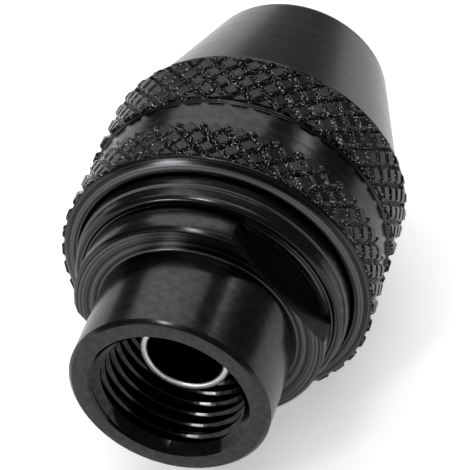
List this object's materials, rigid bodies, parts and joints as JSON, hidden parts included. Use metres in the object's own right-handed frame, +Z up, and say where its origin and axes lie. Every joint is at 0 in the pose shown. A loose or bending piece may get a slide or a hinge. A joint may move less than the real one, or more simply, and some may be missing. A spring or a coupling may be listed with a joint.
{
  "type": "keyless drill chuck",
  "caption": "Small keyless drill chuck with a knurled tapered sleeve, inclined self-centring jaws and an internal spindle thread at the rear.",
  "frame": {"origin": "centre of the thread collar's rear face, on the spindle axis", "axes": "+Y along the spindle axis towards the nose, +Z up with the chuck lying on its grip bands"},
  "size_m": [0.0164, 0.0256, 0.0164],
  "materials": {
    "black_oxide_steel": "oiled black oxide",
    "bright_steel": "ground",
    "jaw_steel": "hardened, ground",
    "brass": "turned"
  },
  "bodies": {
    "chuck_body": {"body": "black_oxide_steel", "centring_spigot": "bright_steel", "rear_collar_ring": "black_oxide_steel", "thrust_race": "bright_steel"},
    "sleeve_group": {"sleeve": "black_oxide_steel", "nut_half_a": "black_oxide_steel", "nut_half_b": "black_oxide_steel"},
    "ball_set": {"ball_cage": "brass", "thrust_balls": "bright_steel"},
    "jaw_a": {"jaw_1": "jaw_steel"},
    "jaw_b": {"jaw_2": "jaw_steel"},
    "jaw_c": {"jaw_3": "jaw_steel"}
  },
  "joints": [
    {"name": "sleeve_turn", "type": "hinge", "parent": "chuck_body", "child": "sleeve_group", "pos_m": [0, 0, 0], "axis": [0, 1, 0], "range_deg": [0, 1800]},
    {"name": "ball_set_turn", "type": "hinge", "parent": "chuck_body", "child": "ball_set", "pos_m": [0, 0, 0], "axis": [0, 1, 0], "range_deg": [0, 900.1]},
    {"name": "jaw_a_slide", "type": "slide", "parent": "chuck_body", "child": "jaw_a", "axis": [0, 0.9659, -0.2588], "range_m": [0, 0.005]},
    {"name": "jaw_b_slide", "type": "slide", "parent": "chuck_body", "child": "jaw_b", "axis": [0.2241, 0.9659, 0.1294], "range_m": [0, 0.005]},
    {"name": "jaw_c_slide", "type": "slide", "parent": "chuck_body", "child": "jaw_c", "axis": [-0.2241, 0.9659, 0.1294], "range_m": [0, 0.005]}
  ],
  "couplings": [
    {"joint": "ball_set_turn", "follows": "sleeve_turn", "ratio": 0.5},
    {"joint": "jaw_a_slide", "follows": "sleeve_turn", "m_per_rad": 0.00015915},
    {"joint": "jaw_b_slide", "follows": "sleeve_turn", "m_per_rad": 0.00015915},
    {"joint": "jaw_c_slide", "follows": "sleeve_turn", "m_per_rad": 0.00015915}
  ]
}
